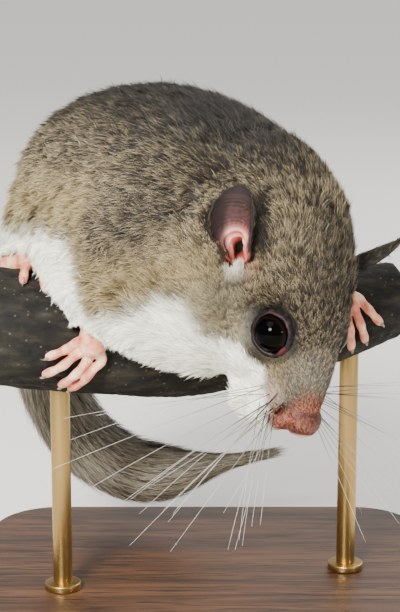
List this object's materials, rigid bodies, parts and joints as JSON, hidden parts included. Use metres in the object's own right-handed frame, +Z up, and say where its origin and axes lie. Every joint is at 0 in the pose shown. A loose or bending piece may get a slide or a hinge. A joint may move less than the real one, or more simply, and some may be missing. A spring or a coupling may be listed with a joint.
{
  "type": "edible dormouse model on a branch and stand",
  "caption": "Life-size still model of an edible dormouse crouched on a cut branch, head hanging forward, bushy tail below, held over a flat display base by two rods.",
  "frame": {"origin": "centre of the display base's underside", "axes": "+Z up, the branch runs along X, and the head hangs toward -Y and +X, on the side that the display is seen from"},
  "size_m": [0.1105, 0.1084, 0.1201],
  "materials": {
    "fur": "short dense grey-brown coat, white below",
    "tail_fur": "long bushy silver-grey coat",
    "skin": "bare pink skin of hands, feet and ears",
    "eye": "wet black gloss",
    "bark": "rough dark grey bark, pale cut ends",
    "board": "satin dark hardwood",
    "rod": "brushed dark brass"
  },
  "bodies": {
    "root": {"head": "fur", "neck": "fur", "chest": "fur", "loins": "fur", "rump": "fur", "upper_arm_left": "fur", "upper_arm_right": "fur", "forearm_left": "fur", "forearm_right": "fur", "thigh_left": "fur", "thigh_right": "fur", "shank_left": "fur", "shank_right": "fur", "hand_left": "skin", "hand_right": "skin", "foot_left": "skin", "foot_right": "skin", "ear_left": "skin", "ear_right": "skin", "eye_left": "eye", "eye_right": "eye", "tail_1": "tail_fur", "tail_2": "tail_fur", "tail_3": "tail_fur", "perch_branch": "bark", "stand_base": "board", "stand_rod_1": "rod", "stand_rod_2": "rod"}
  },
  "joints": []
}
